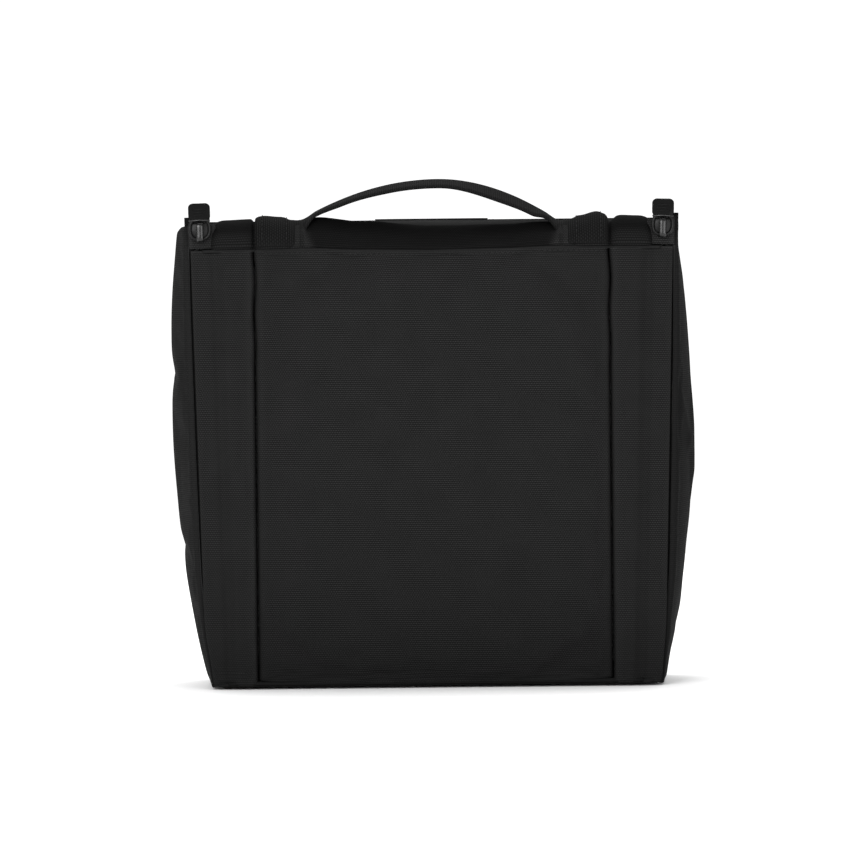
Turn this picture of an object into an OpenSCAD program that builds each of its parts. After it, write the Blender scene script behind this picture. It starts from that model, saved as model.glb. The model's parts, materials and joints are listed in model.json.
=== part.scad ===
// Hanging toiletry bag: a deep fabric shell with a drop-down padded front, two side zips,
// a webbing grab handle and a swivel hook that pushes up through a slot in the top.
// Millimetres, +Z up, the front faces -Y, the origin is under the middle of the base.

/* [Bag] */
// Depth from the front of the lid to the back
bag_d = 92; // [84:1:104]
// Height of the body without the handle
bag_h = 234; // [230:1:260]
// Half width at the widest point of the side walls
side_half = 130; // [128:1:134]
// Height at which the left wall is widest
left_peak_z = 160; // [130:5:170]
// Height at which the right wall is widest
right_peak_z = 125; // [110:5:150]
// Thickness of the padded walls
wall = 3; // [2:0.5:4]

/* [Lid] */
// Thickness of the padded lid at its fullest
lid_t = 9.5; // [8:0.5:11]
// Height of the lid's top edge
lid_top = 220.6; // [210:0.2:222]
// Height of the lid's bottom edge
lid_bottom = 4; // [3:0.5:6]
// Half width of the centre panel, out to the creases
crease_x = 89; // [80:1:95]
// How far the pads swell past their edges
pad_crown = 4.5; // [2:0.5:5]

/* [Side zips] */
// Half the distance between the two zips at their top end
zip_top_x = 117; // [116:0.5:120]
// Height of the zips' top end
zip_top_z = 237; // [236:0.5:240]
// Length of each zip
zip_len = 215; // [200:1:218]
// Lean of the zips, inwards on the way down
zip_lean = 1.5; // [0:0.5:2]
// Angle that the pullers lean back at rest
puller_lean = 4; // [0:0.5:4]

/* [Handle] */
// Height of the top of the handle's arch
handle_apex_z = 255.5; // [252:0.5:262]
// Sideways place of the top of the arch
handle_apex_x = 3; // [0:0.5:5]
// Width of the webbing
webbing_w = 20; // [16:1:22]
// Thickness of the doubled webbing
webbing_t = 2.4; // [1.6:0.2:3]

/* [Hook] */
// Inner radius of the hook
hook_r = 15; // [12:0.5:16]
// Thickness of the hook
hook_t = 6; // [5:0.5:7]
// Distance of the hook behind the bag's middle
hook_y = 12; // [6:1:16]

/* [Inside] */
// Number of loops in the elastic band
loops = 4; // [2:1:4]
// Outer radius of each loop
loop_r = 20; // [14:1:21]

/* [Hidden] */

front_y = -bag_d / 2;
back_y = bag_d / 2;
lid_back_y = front_y + lid_t;
round_fn = 48;

// Walls
side_curve = 0.0007;
wall_front_y = front_y + 10;
layer_t = 1.4;
lining_y = back_y - 3 * layer_t;
back_top_half = 121;
back_foot_half = 112;
foot_in = 4;
foot_z = 34;
tape_reach = 6.4;
wall_rows = 9;
wall_steps = 5;

// Top
roll_r = 13;
band_half = 110;
slot_half = 25;
slot_w = 9.6;
frame_w = 3.7;
tongue_y = front_y + 11.4;
strip_t = 0.5;
proud_t = 1.1;

// Pads
pad_cols = 12;
pad_gap = 0.4;
lining_t = 0.6;

// Zips
tape_y = front_y + 8;
tape_t = 0.6;
coil_w = 2.6;
coil_t = 2.6;
half_gap = 0.3;
fit_gap = 0.35;
slider_w = 10.4;
slider_t = 1.3;
slider_z = [-14, -4.2];
rear_t = 0.8;
pivot_out = 6.4;
pivot_r = 0.75;
pivot_z = -11;
eye_w = 8.4;
bar_t = 1.5;
eye_t = 1.3;
tab_l = 8.5;
tab_t = 2.4;
bridge_w = 3.6;
bridge_z = [-13.3, -3.6];
bridge_out = 9.1;
pocket_scale = 0.7;
pocket_z = 172;
pocket_half = 92;
pocket_tape_y = lid_back_y + 0.9;
pocket_coil_y = pocket_tape_y + pocket_scale * tape_t;

// Handle
arch_k = 0.0056;
arch_half = 43;
arch_end_x = 69;
arch_end_z = bag_h + 0.2;
handle_y = front_y + 15;
patch_w = 19;

// Hook
hook_w = 6;
hook_top_z = bag_h - 5;
ring_z = hook_top_z - hook_r - hook_w;
hook_foot_z = ring_z - hook_r - hook_w - 14;
pin_r = 2;
pin_gap = 0.05;
shank_r = 4;

// Centre line of a zip, and the outlines that follow it
function zip_x(z) = zip_top_x - (zip_top_z - z) * tan(zip_lean);
function ease(t) = let(u = min(1, max(0, t))) u * u * (3 - 2 * u);
function front_edge_x(z) = zip_x(z) + tape_reach - foot_in * (1 - ease(z / foot_z));
function side_x(z, peak) = max(side_half - side_curve * (z - peak) * (z - peak), front_edge_x(z) + 0.5);
function back_half(z) = back_foot_half + (back_top_half - back_foot_half) * ease(z / 90);
function lid_half(z) = zip_x(z) - 6.2;
function arch_z(x) = handle_apex_z - arch_k * (x - handle_apex_x) * (x - handle_apex_x);

// Closed solid through a list of rings that all have the same number of points
module skin(rings) {
    n = len(rings[0]);
    last = len(rings) - 1;
    sides = [for (r = [0:last - 1], i = [0:n - 1]) let(a = r * n + i, b = r * n + (i + 1) % n)
        each [[a, b + n, b], [a, a + n, b + n]]];
    first_cap = [[for (i = [0:n - 1]) i]];
    last_cap = [[for (i = [n - 1:-1:0]) last * n + i]];
    polyhedron([for (ring = rings) each ring], concat(first_cap, sides, last_cap));
}

// Upright plate drawn in the XZ plane, from y0 to y1
module upright(y0, y1) {
    translate([0, y1, 0]) rotate([90, 0, 0]) linear_extrude(y1 - y0) children();
}

// Box between two corners
module block(low, high) {
    translate(low) cube(high - low);
}

// Outline of the back wall, shrunk by d
module back_outline(d) {
    rows = 12;
    levels = [for (i = [0:rows]) d + 2 + (bag_h - 2 - 2 * d) * i / rows];
    right = [for (z = levels) [back_half(z) - d, z]];
    left = [for (i = [rows:-1:0]) [-back_half(levels[i]) + d, levels[i]]];
    polygon(concat(right, left));
}

module back_layer(k, d) {
    upright(lining_y + k * layer_t, lining_y + (k + 1) * layer_t) back_outline(d);
}

// One side wall: a shell that bulges between the zip and the back seam
function wall_ring(z, peak) =
    let(
        front_x = front_edge_x(z),
        rear_x = back_half(z) - 0.5,
        bulge = side_x(z, peak) - (front_x + rear_x) / 2,
        path = [for (i = [0:wall_steps]) let(t = i / wall_steps)
            [front_x + (rear_x - front_x) * t + bulge * sin(180 * t),
             wall_front_y + (lining_y - wall_front_y) * t]]
    )
    concat(
        [for (p = path) [p[0], p[1], z]],
        [for (i = [wall_steps:-1:0]) [path[i][0] - wall, path[i][1], z]]
    );

module side_wall(peak) {
    skin([for (i = [0:wall_rows]) wall_ring((bag_h - 1) * i / wall_rows, peak)]);
}

// One padded panel of the lid: a crowned section, cut to an outline that follows the zip
module pad(x0, x1, top_x0, top_x1, foot_x0, foot_x1) {
    front = [for (i = [0:pad_cols]) let(u = 2 * i / pad_cols - 1)
        [x0 + (x1 - x0) * i / pad_cols, front_y + pad_crown * u * u]];
    intersection() {
        translate([0, 0, lid_bottom]) linear_extrude(lid_top - lid_bottom)
            polygon(concat(front, [[x1, lid_back_y - lining_t], [x0, lid_back_y - lining_t]]));
        upright(front_y - 1, lid_back_y + 1)
            polygon([[foot_x0, lid_bottom], [foot_x1, lid_bottom], [top_x1, lid_top], [top_x0, lid_top]]);
    }
}

// Side strip of the lid, on the +X side
module side_strip() {
    x0 = crease_x + pad_gap;
    pad(x0, lid_half(lid_top), x0, lid_half(lid_top), x0, lid_half(lid_bottom));
}

// Places a zip part: local z runs up the zip from its top end, local -y faces out
module on_zip(side) {
    translate([side * zip_top_x, 0, zip_top_z]) rotate([0, side * zip_lean, 0]) children();
}

module on_pocket_zip() {
    translate([-pocket_half + 6, pocket_tape_y, pocket_z])
        rotate([0, -90, 0]) rotate([0, 0, 180]) scale(pocket_scale) translate([0, -tape_y, 0]) children();
}

// Half of a tape or a coil on one side of the zip's centre line
module half_tape(side, outer) {
    dir = side * outer;
    x0 = half_gap;
    x1 = outer > 0 ? tape_reach + 1 : tape_reach - 0.5;
    low_x = min(dir * x0, dir * x1);
    high_x = max(dir * x0, dir * x1);
    on_zip(side) block([low_x, tape_y - tape_t, -zip_len], [high_x, tape_y, 0]);
}

module half_coil(side, outer) {
    dir = side * outer;
    x0 = half_gap;
    x1 = half_gap + coil_w;
    on_zip(side)
        block([min(dir * x0, dir * x1), tape_y - tape_t - coil_t, -zip_len + 4],
              [max(dir * x0, dir * x1), tape_y - tape_t, -1.5]);
}

// Zip slider: front plate with side flanges, rear plate, and the blade that joins them
module slider_shape() {
    plate_y = tape_y - tape_t - coil_t - fit_gap - slider_t;
    rear_y = tape_y + fit_gap;
    x0 = half_gap + coil_w + fit_gap;
    block([-slider_w / 2, plate_y, slider_z[0]], [slider_w / 2, plate_y + slider_t, slider_z[1]]);
    for (s = [-1, 1])
        block([min(s * x0, s * slider_w / 2), plate_y, slider_z[0]],
              [max(s * x0, s * slider_w / 2), tape_y - tape_t - fit_gap, slider_z[1]]);
    block([-slider_w / 2, rear_y, slider_z[0]], [slider_w / 2, rear_y + rear_t, slider_z[1]]);
    block([-half_gap / 2, plate_y, slider_z[0] + 2], [half_gap / 2, rear_y + rear_t, slider_z[1]]);
}

// Bridge over the puller's bar
module bridge_shape() {
    plate_y = tape_y - tape_t - coil_t - fit_gap - slider_t;
    out_y = tape_y - bridge_out;
    difference() {
        block([-bridge_w / 2, out_y, bridge_z[0]], [bridge_w / 2, plate_y, bridge_z[1]]);
        block([-bridge_w, out_y + 1.1, bridge_z[0] + 1.1], [bridge_w, plate_y + 1, bridge_z[1] - 1.1]);
    }
}

// Puller: the bar under the bridge, the eye's two legs and the tab
module puller_shape() {
    leg_x = eye_w / 2;
    translate([0, tape_y - pivot_out, pivot_z]) rotate([-puller_lean, 0, 0]) {
        rotate([0, 90, 0]) cylinder(h = eye_w + 2 * bar_t, r = pivot_r, center = true, $fn = round_fn);
        for (s = [-1, 1])
            block([min(s * leg_x, s * (leg_x + bar_t)), -eye_t / 2, -0.4],
                  [max(s * leg_x, s * (leg_x + bar_t)), eye_t / 2, 10]);
        block([-leg_x - bar_t, -tab_t / 2, 9.4], [leg_x + bar_t, tab_t / 2, 9.4 + tab_l]);
    }
}

// Webbing arch between two places along X
module arch(x0, x1, steps) {
    xs = [for (i = [0:steps]) x0 + (x1 - x0) * i / steps];
    outline = concat(
        [for (x = xs) [x, arch_z(x)]],
        [for (i = [steps:-1:0]) [xs[i], arch_z(xs[i]) - webbing_t]]
    );
    upright(handle_y - webbing_w / 2, handle_y + webbing_w / 2) polygon(outline);
}

// Sewn end of the webbing: the flat patch on the band and the slope up to the arch
module handle_end(s) {
    x0 = handle_apex_x + s * arch_half;
    top = arch_z(x0);
    slope_x = [x0 + s * 0.4, s * arch_end_x, s * (arch_end_x + 5)];
    slope_top = [[slope_x[0], top], [slope_x[1], arch_end_z + webbing_t], [slope_x[2], arch_end_z + webbing_t]];
    slope_low = [[slope_x[2], arch_end_z], [slope_x[1], arch_end_z], [slope_x[0], top - webbing_t]];
    slope = concat(slope_top, slope_low);
    upright(handle_y - webbing_w / 2, handle_y + webbing_w / 2) polygon(slope);
    intersection() {
        translate([s * (arch_end_x + patch_w / 2 + 1), front_y + roll_r, bag_h - roll_r])
            rotate([0, 90, 0]) difference() {
                cylinder(h = patch_w, r = roll_r + proud_t, center = true, $fn = round_fn);
                cylinder(h = patch_w + 2, r = roll_r, center = true, $fn = round_fn);
            }
        block(
            [min(s * 60, s * 95), front_y - 5, lid_top + 1.2],
            [max(s * 60, s * 95), front_y + roll_r, bag_h + 5]
        );
    }
}

// A slot outline: a straight length with round ends
module stadium(half, w) {
    square([2 * half - w, w], center = true);
    for (s = [-1, 1]) translate([s * (half - w / 2), 0]) circle(d = w, $fn = round_fn);
}

module back_panel() {
    color("#26272a") back_layer(2, 0);
}

module back_board() {
    color("#3a3b3d") back_layer(1, 4);
}

module back_lining() {
    color("#303134") back_layer(0, 1);
}

module left_gusset() {
    color("#28292c") mirror([1, 0, 0]) side_wall(left_peak_z);
}

module right_gusset() {
    color("#28292c") side_wall(right_peak_z);
}

module bottom_gusset() {
    front_half = front_edge_x(0) - wall - 0.5;
    rear_half = back_half(0) - wall - 1;
    color("#202124") linear_extrude(wall) polygon([
        [-front_half, front_y + 1], [front_half, front_y + 1],
        [rear_half, lining_y], [-rear_half, lining_y]]);
}

module base_board() {
    half = back_half(0) - wall - 4;
    color("#3a3b3d") block([-half, wall_front_y + 5, wall], [half, lining_y - 3, wall + 1.2]);
}

module top_panel() {
    half = zip_x(bag_h) - 0.5;
    color("#1e1f22") difference() {
        block([-half, front_y + roll_r, bag_h - wall], [half, lining_y, bag_h]);
        translate([0, hook_y, bag_h - wall - 1]) linear_extrude(wall + 2)
            stadium(slot_half + 1.6, slot_w + 3.2);
    }
}

module top_band() {
    axis_z = bag_h - roll_r;
    color("#18191b") intersection() {
        translate([0, front_y + roll_r, axis_z]) rotate([0, 90, 0]) difference() {
            cylinder(h = 2 * band_half, r = roll_r, center = true, $fn = round_fn);
            cylinder(h = 2 * band_half + 2, r = roll_r - wall, center = true, $fn = round_fn);
        }
        block([-band_half - 1, front_y - 1, lid_top + 0.8], [band_half + 1, front_y + roll_r, bag_h + 1]);
    }
}

module closure_tongue() {
    color("#1e1f22") block([-94, tongue_y, 196], [94, tongue_y + 1, bag_h - wall - 0.4]);
}

module closure_hooks() {
    color("#101113") block([-80, tongue_y - strip_t, 200], [80, tongue_y, 216]);
}

module slot_frame() {
    base_z = bag_h - wall;
    color("#141414") translate([0, hook_y, 0]) difference() {
        union() {
            translate([0, 0, base_z - 1.4]) linear_extrude(wall + 2.8) stadium(slot_half + 1.5, slot_w + 3);
            for (z = [base_z - 1.4, bag_h])
                translate([0, 0, z]) linear_extrude(1.4) stadium(slot_half + frame_w, slot_w + 2 * frame_w);
        }
        translate([0, 0, base_z - 3]) linear_extrude(wall + 6) stadium(slot_half, slot_w);
    }
}

module left_outer_tape() {
    color("#17181a") half_tape(-1, 1);
}

module right_outer_tape() {
    color("#17181a") half_tape(1, 1);
}

module left_outer_coil() {
    color("#0e0f10") half_coil(-1, 1);
}

module right_outer_coil() {
    color("#0e0f10") half_coil(1, 1);
}

module zip_top_stops() {
    color("#1a1a1a") for (side = [-1, 1])
        on_zip(side) translate([side > 0 ? half_gap : -half_gap - coil_w, 0, 0])
            block([0, tape_y - tape_t - coil_t, -1.4], [coil_w, tape_y - tape_t, 0]);
}

module zip_bottom_stops() {
    color("#1a1a1a") for (side = [-1, 1])
        on_zip(side) translate([side > 0 ? half_gap : -half_gap - coil_w, 0, 0])
            block([0, tape_y - tape_t - coil_t, -zip_len], [coil_w, tape_y - tape_t, -zip_len + 3.9]);
}

module left_handle_end() {
    color("#26272a") handle_end(-1);
}

module right_handle_end() {
    color("#26272a") handle_end(1);
}

module back_binding() {
    color("#141517") upright(back_y - layer_t - 2, back_y + proud_t) difference() {
        back_outline(-1.2);
        back_outline(-0.05);
    }
}

module bottle_elastic() {
    band_z = 62;
    band_h = 26;
    t = 1.2;
    pitch = 2 * loop_r + 5;
    color("#1b1c1e") translate([0, lining_y, band_z]) linear_extrude(band_h)
        for (i = [0:loops - 1]) translate([(i - (loops - 1) / 2) * pitch, 0]) {
            intersection() {
                difference() {
                    circle(r = loop_r, $fn = round_fn);
                    circle(r = loop_r - t, $fn = round_fn);
                }
                translate([-loop_r, -loop_r]) square([2 * loop_r, loop_r]);
            }
            for (s = [-1, 1])
                translate([s > 0 ? loop_r - t : -loop_r - 2.5, -t]) square([2.5 + t, t]);
        }
}

module centre_panel() {
    x = crease_x - pad_gap;
    color("#2b2c2f") pad(-x, x, -x, x, -x, x);
}

module left_strip() {
    color("#2b2c2f") mirror([1, 0, 0]) side_strip();
}

module right_strip() {
    color("#2b2c2f") side_strip();
}

module lid_board() {
    y0 = lid_back_y - lining_t;
    color("#3a3b3d") block([-100, y0, 12], [100, y0 + 0.3, 212]);
}

module lid_hem() {
    y0 = lid_back_y - lining_t;
    half = lid_half(lid_top) - 1;
    color("#333437") block([-half, y0, lid_top - 8], [half, y0 + 0.6, lid_top]);
}

module lid_lining() {
    y0 = lid_back_y - lining_t + 0.3;
    half = lid_half(lid_bottom) - 1;
    color("#303134") block([-half, y0, lid_bottom + 1], [half, lid_back_y, lid_top - 8.2]);
}

module left_inner_tape() {
    color("#17181a") half_tape(-1, -1);
}

module right_inner_tape() {
    color("#17181a") half_tape(1, -1);
}

module left_inner_coil() {
    color("#0e0f10") half_coil(-1, -1);
}

module right_inner_coil() {
    color("#0e0f10") half_coil(1, -1);
}

module closure_loops() {
    color("#101113") block([-80, lid_back_y, 196], [80, lid_back_y + strip_t, 212]);
}

module mesh_pocket() {
    color("#26272a") block([-pocket_half, lid_back_y, 28], [pocket_half, lid_back_y + 0.6, pocket_z - 6]);
}

module pocket_tape() {
    gap = pocket_scale * half_gap;
    color("#17181a") for (z = [[pocket_z - 5.9, pocket_z - gap], [pocket_z + gap, pocket_z + 7]])
        block([-pocket_half, pocket_tape_y, z[0]], [pocket_half, pocket_coil_y, z[1]]);
}

module pocket_coil() {
    w = pocket_scale * coil_w;
    gap = pocket_scale * half_gap;
    color("#0e0f10") for (z = [pocket_z - gap - w, pocket_z + gap])
        block(
            [-pocket_half + 5, pocket_coil_y, z],
            [pocket_half - 5, pocket_coil_y + pocket_scale * coil_t, z + w]
        );
}

module pocket_stops() {
    color("#1a1a1a") for (x = [-pocket_half + 3, pocket_half - 5])
        block([x, pocket_coil_y, pocket_z - 2], [x + 1.9, pocket_coil_y + 2, pocket_z + 2]);
}

module hinge_tape() {
    color("#202124") block([-104, front_y + 1, wall + 0.3], [104, lid_back_y - 1, lid_bottom]);
}

module left_slider() {
    color("#1b1b1c") on_zip(-1) slider_shape();
}

module left_bridge() {
    color("#c9cacb") on_zip(-1) bridge_shape();
}

module left_puller() {
    color("#3c3d40") on_zip(-1) puller_shape();
}

module right_slider() {
    color("#1b1b1c") on_zip(1) slider_shape();
}

module right_bridge() {
    color("#c9cacb") on_zip(1) bridge_shape();
}

module right_puller() {
    color("#3c3d40") on_zip(1) puller_shape();
}

module pocket_slider() {
    color("#1b1b1c") on_pocket_zip() slider_shape();
}

module pocket_bridge() {
    color("#c9cacb") on_pocket_zip() bridge_shape();
}

module pocket_puller() {
    color("#3c3d40") on_pocket_zip() puller_shape();
}

module handle_webbing() {
    color("#2b2c2f") arch(handle_apex_x - arch_half, handle_apex_x + arch_half, 20);
}

module hook_carrier() {
    color("#141414") translate([0, hook_y, hook_foot_z - 4.4]) linear_extrude(4) stadium(31, 14);
}

module hook_pin() {
    color("#b9babc") translate([0, hook_y, hook_foot_z - 0.4]) cylinder(h = 9, r = pin_r, $fn = round_fn);
}

// Hook: an open ring on a round neck, with a blind bore for the swivel pin
module hook() {
    ring_r = hook_r + hook_w;
    color("#141414") translate([0, hook_y, 0]) difference() {
        union() {
            upright(-hook_t / 2, hook_t / 2) translate([0, ring_z]) {
                difference() {
                    circle(r = ring_r, $fn = 64);
                    circle(r = hook_r, $fn = 64);
                    polygon([
                        [0, 0], [-2 * ring_r, -4], [-2 * ring_r, -2 * ring_r], [4, -2 * ring_r], [4, -hook_r]
                    ]);
                }
                polygon([[4, -hook_r - 0.2], [12, -hook_r - 1], [shank_r, -ring_r - 6], [shank_r, -ring_r - 8],
                         [-shank_r, -ring_r - 8], [-shank_r, -ring_r - 2], [0, -ring_r + 1]]);
            }
            translate([0, 0, hook_foot_z]) cylinder(h = 12, r = shank_r, $fn = round_fn);
        }
        translate([0, 0, hook_foot_z - 1]) cylinder(h = 10.2, r = pin_r + pin_gap, $fn = round_fn);
    }
}

back_panel();
back_board();
back_lining();
left_gusset();
right_gusset();
bottom_gusset();
base_board();
top_panel();
top_band();
closure_tongue();
closure_hooks();
slot_frame();
left_outer_tape();
right_outer_tape();
left_outer_coil();
right_outer_coil();
zip_top_stops();
zip_bottom_stops();
left_handle_end();
right_handle_end();
back_binding();
bottle_elastic();
centre_panel();
left_strip();
right_strip();
lid_hem();
lid_board();
lid_lining();
left_inner_tape();
right_inner_tape();
left_inner_coil();
right_inner_coil();
closure_loops();
mesh_pocket();
pocket_tape();
pocket_coil();
pocket_stops();
hinge_tape();
left_slider();
left_bridge();
left_puller();
right_slider();
right_bridge();
right_puller();
pocket_slider();
pocket_bridge();
pocket_puller();
handle_webbing();
hook_carrier();
hook_pin();
hook();
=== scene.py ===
"""Hanging toiletry bag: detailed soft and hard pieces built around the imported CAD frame."""

import json
from math import atan, copysign, cos, hypot, pi, radians, sin

import bmesh
import bpy
import numpy as np
from mathutils import Matrix, Vector


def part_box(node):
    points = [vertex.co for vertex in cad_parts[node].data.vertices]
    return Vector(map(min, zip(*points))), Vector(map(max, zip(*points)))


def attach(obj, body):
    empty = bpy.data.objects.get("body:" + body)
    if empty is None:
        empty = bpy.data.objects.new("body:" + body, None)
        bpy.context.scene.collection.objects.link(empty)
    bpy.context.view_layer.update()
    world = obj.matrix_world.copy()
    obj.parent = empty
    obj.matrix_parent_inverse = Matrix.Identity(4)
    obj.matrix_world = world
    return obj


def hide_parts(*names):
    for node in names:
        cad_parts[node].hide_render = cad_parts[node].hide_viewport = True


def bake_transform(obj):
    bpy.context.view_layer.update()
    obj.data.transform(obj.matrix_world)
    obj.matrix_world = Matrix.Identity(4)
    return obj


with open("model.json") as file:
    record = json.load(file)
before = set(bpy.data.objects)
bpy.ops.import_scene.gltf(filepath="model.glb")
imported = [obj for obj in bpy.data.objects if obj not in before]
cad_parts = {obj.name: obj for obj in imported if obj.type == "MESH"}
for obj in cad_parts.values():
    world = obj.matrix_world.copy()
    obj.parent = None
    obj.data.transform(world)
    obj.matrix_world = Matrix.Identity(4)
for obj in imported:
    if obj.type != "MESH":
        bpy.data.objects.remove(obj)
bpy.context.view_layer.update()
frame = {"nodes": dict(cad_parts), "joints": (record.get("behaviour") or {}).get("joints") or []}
scene = bpy.context.scene
joints = {j["name"]: j for j in frame["joints"]}

MM = 0.001


# --- measures from the frame, in mm
def cad(node):
    low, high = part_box(node)
    return np.array(low) / MM, np.array(high) / MM


def pivot(joint):
    return np.array(joints[joint]["pos_m"]) / MM


FRONT_Y = cad("centre_panel")[0][1]
LID_TOP = cad("centre_panel")[1][2]
LID_BACK_Y = cad("lid_lining")[1][1]
BACK_Y = cad("back_panel")[1][1]
LINING_Y = cad("back_lining")[0][1]
BAG_H = cad("top_panel")[1][2]
CREASE_X = cad("centre_panel")[1][0] + 0.4
TAPE_LOW, TAPE_HIGH = cad("right_outer_tape")
TAPE_BACK_Y, TAPE_FRONT_Y = TAPE_HIGH[1], TAPE_LOW[1]
COIL_FRONT_Y = cad("right_outer_coil")[0][1]
SWING = pivot("right_puller_swing")
ZIP_AXIS = joints["right_zip"]["axis"]
ZIP_SLOPE = ZIP_AXIS[0] / ZIP_AXIS[2]
ZIP_LEAN = atan(ZIP_SLOPE)
ZIP_TOP_Z = cad("zip_top_stops")[1][2]
ZIP_LEN = 215
BAND_HALF = cad("top_band")[1][0]
HANDLE_Y = pivot("handle_tilt")[1]
ARCH_TOP_Z = cad("handle_webbing")[1][2]
WEBBING_W = cad("handle_webbing")[1][1] - cad("handle_webbing")[0][1]
HOOK_Y, HOOK_FOOT_Z = pivot("hook_swivel")[1:]
LIP_OUT = 4.4  # how far the lid's closing lip reaches outward past the zip
SLIT = 1.9  # gap between that lip and the side wall


def zip_x(z):
    return SWING[0] + (z - SWING[2]) * ZIP_SLOPE


def ease(t):
    t = np.clip(t, 0, 1)
    return t * t * (3 - 2 * t)


def rounding(s, r):
    """Quarter circle: 0 at an edge, 1 from r mm inside it."""
    s = np.clip(np.asarray(s, float) / r, 0, 1)
    return np.sqrt(1 - (1 - s) ** 2)


def groove(x, centre, width):
    return np.exp(-(((x - centre) / width) ** 2))


def curve(x, xs, ys):
    """Smooth curve through a few heights."""
    x = np.clip(np.asarray(x, float), xs[0], xs[-1])
    i = np.clip(np.searchsorted(xs, x, "right") - 1, 0, len(xs) - 2)
    xs, ys = np.asarray(xs, float), np.asarray(ys, float)
    t = ease((x - xs[i]) / (xs[i + 1] - xs[i]))
    return ys[i] + (ys[i + 1] - ys[i]) * t


def ripple(a, b, scale, seed=0.0):
    """Smooth, repeatable unevenness between -1 and 1."""
    a, b = a / scale, b / scale
    return (
        np.sin(a * 1.3 + 1.7 * np.sin(b * 0.9 + seed) + seed)
        + np.sin(b * 1.1 + 1.3 * np.sin(a * 0.7 + 2 * seed) + 2.1)
        + np.sin(a * 2.3 - b * 1.9 + 3 * seed)
    ) / 3


# --- materials
EDGE_WEAR = 0.35  # how much a worn edge of cloth pales


class Field:
    """A number that varies over a surface, combined with others by ordinary arithmetic."""

    def __init__(self, socket):
        self.socket = socket

    def do(self, operation, second=0.0, third=0.0, clamp=False):
        n = node(self.socket.id_data, "Math")
        n.operation = operation
        n.use_clamp = clamp
        for value, socket in zip((self, second, third), n.inputs):
            put(value, socket)
        return Field(n.outputs[0])

    def __add__(self, other):
        return self.do("ADD", other)

    def __sub__(self, other):
        return self.do("SUBTRACT", other)

    def __mul__(self, other):
        return self.do("MULTIPLY", other)

    def __truediv__(self, other):
        return self.do("DIVIDE", other)

    def waves(self):
        """From 0 to 1 and back for each whole number."""
        return (self * (2 * pi)).do("SINE").do("MULTIPLY_ADD", 0.5, 0.5)

    def staggered(self):
        """Half a step on every second row."""
        return self.do("FLOOR").do("MODULO", 2.0) * 0.5


def put(value, socket):
    if isinstance(value, Field):
        value = value.socket
    if isinstance(value, bpy.types.NodeSocket):
        socket.id_data.links.new(value, socket)
    else:
        socket.default_value = value


def node(tree, kind, **inputs):
    """New shader node; an underscore in an input's name stands for a space."""
    n = tree.nodes.new("ShaderNode" + kind)
    for key, value in inputs.items():
        put(value, n.inputs[key.replace("_", " ")])
    return n


def shader(name, **inputs):
    mat = bpy.data.materials.new(name)
    mat.use_nodes = True
    tree = mat.node_tree
    tree.nodes.clear()
    out = node(tree, "OutputMaterial")
    bsdf = node(tree, "BsdfPrincipled", **inputs)
    put(bsdf.outputs[0], out.inputs["Surface"])
    return mat, tree, bsdf.inputs


def grey(v):
    return (v, v, v, 1)


def mixed(fac, low, high):
    """Colour between two colours."""
    n = node(fac.socket.id_data, "Mix")
    n.data_type = "RGBA"
    put(fac, n.inputs["Factor"])
    put(low, n.inputs[6])
    put(high, n.inputs[7])
    return n.outputs[2]


def noise(vector, scale, detail=2.0):
    n = node(vector.id_data, "TexNoise", Vector=vector, Scale=scale, Detail=detail)
    return Field(n.outputs["Fac"])


def bumped(bsdf, height, distance, strength=1.0):
    n = node(height.socket.id_data, "Bump", Distance=distance, Strength=strength, Height=height)
    put(n.outputs[0], bsdf["Normal"])


def attribute(tree, name, output):
    n = node(tree, "Attribute")
    n.attribute_name = name
    return n.outputs[output]


def object_place(tree):
    return node(tree, "TexCoord").outputs["Object"]


def parts(vector):
    return [Field(s) for s in node(vector.id_data, "SeparateXYZ", Vector=vector).outputs]


def woven(name, low, high, rib, thread, depth, rough=0.86, sheen=0.0):
    """Cloth of ribs along u, stacked in v, each crossed by threads. All lengths in metres."""
    mat, tree, bsdf = shader(name, Specular_IOR_Level=0.04, Sheen_Weight=sheen, Sheen_Roughness=0.55)
    cloth = attribute(tree, "cloth", "Vector")
    u, v, worn = parts(cloth)
    rows = (v + noise(cloth, 38.0, 1.0) * (rib * 0.7)) / rib
    cols = u / thread + rows.staggered()
    weave = rows.waves() * cols.waves().do("MULTIPLY_ADD", 0.8, 0.2)
    patch = noise(cloth, 60.0, 3.0)
    fuzz = noise(cloth, 2600.0, 1.0)
    # colour follows the weave: its grooves are painted darker and its crests lighter, painted shade and
    # highlight on the threads, plus random patches and fuzz
    level = weave + (patch - 0.5) * 0.2 + (fuzz - 0.5) * 0.45
    level = level.do("ADD", worn * EDGE_WEAR, clamp=True)
    # the tone attribute scales this colour; the pieces set it mostly as painted shade and painted highlight
    toned = node(tree, "VectorMath")
    toned.operation = "SCALE"
    put(mixed(level, grey(low), grey(high)), toned.inputs[0])
    put(attribute(tree, "tone", "Fac"), toned.inputs["Scale"])
    put(toned.outputs[0], bsdf["Base Color"])
    put(weave.do("MULTIPLY_ADD", -0.12, rough), bsdf["Roughness"])
    bumped(bsdf, weave + fuzz * 0.25, depth, 0.9)
    return mat


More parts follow.
